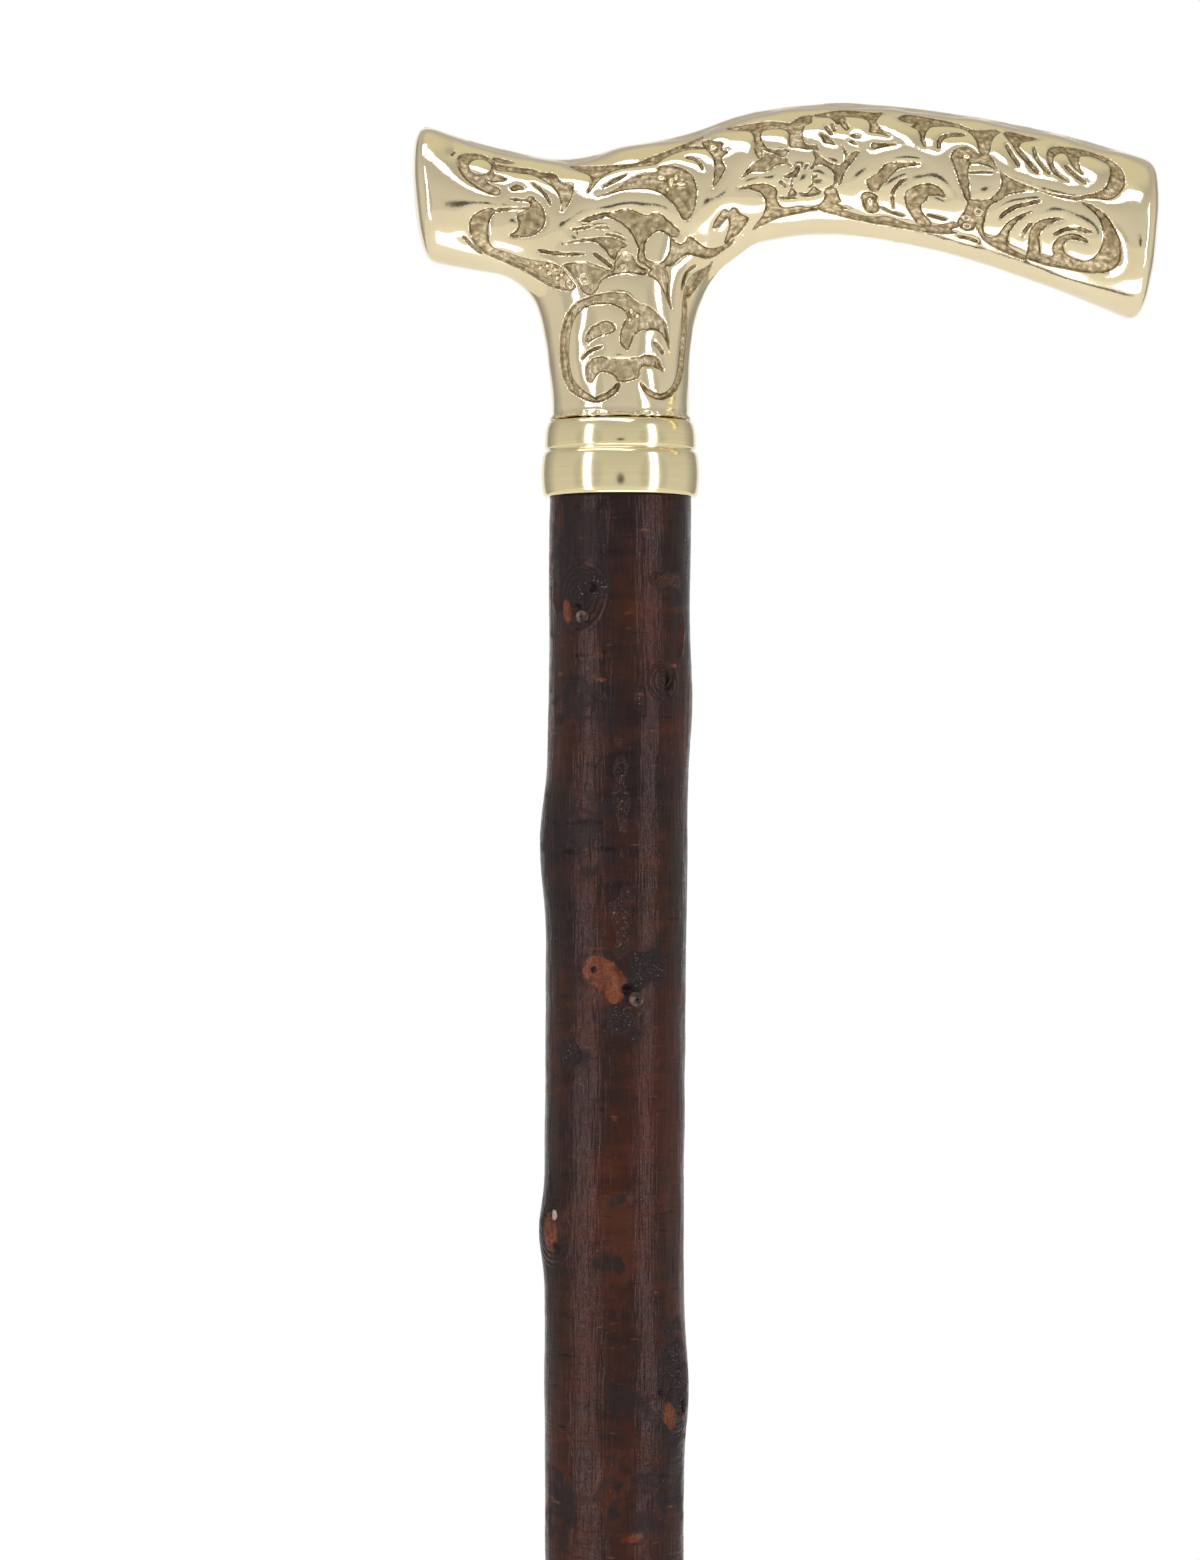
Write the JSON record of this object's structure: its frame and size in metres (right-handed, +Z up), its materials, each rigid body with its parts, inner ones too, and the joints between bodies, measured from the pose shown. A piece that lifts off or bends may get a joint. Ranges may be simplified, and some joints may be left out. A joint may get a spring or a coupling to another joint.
{
  "type": "walking stick",
  "caption": "Blackthorn walking stick with a scroll-carved cast brass crutch handle, a turned brass collar, a knotted bark shaft and a push-on rubber ferrule.",
  "frame": {"origin": "middle of the ferrule's underside, on the shaft's axis at floor level", "axes": "+Z up along the shaft to the handle, +X along the long side of the grip, -Y out of the front face that the picture shows"},
  "size_m": [0.119, 0.034, 0.9152],
  "materials": {
    "cast_brass": "polished, with a matt patina in the sunk ground",
    "turned_brass": "polished",
    "stud_steel": "plain rolled",
    "blackthorn": "varnished bark",
    "ferrule_rubber": "matt",
    "washer_steel": "zinc plated"
  },
  "bodies": {
    "stick": {"brass_handle": "cast_brass", "collar": "turned_brass", "handle_stud": "stud_steel", "shaft": "blackthorn"},
    "foot": {"rubber_ferrule": "ferrule_rubber", "ferrule_washer": "washer_steel"}
  },
  "joints": [
    {"name": "ferrule_pull_off", "type": "slide", "parent": "stick", "child": "foot", "axis": [0, 0, -1], "range_m": [0, 0.036]}
  ]
}
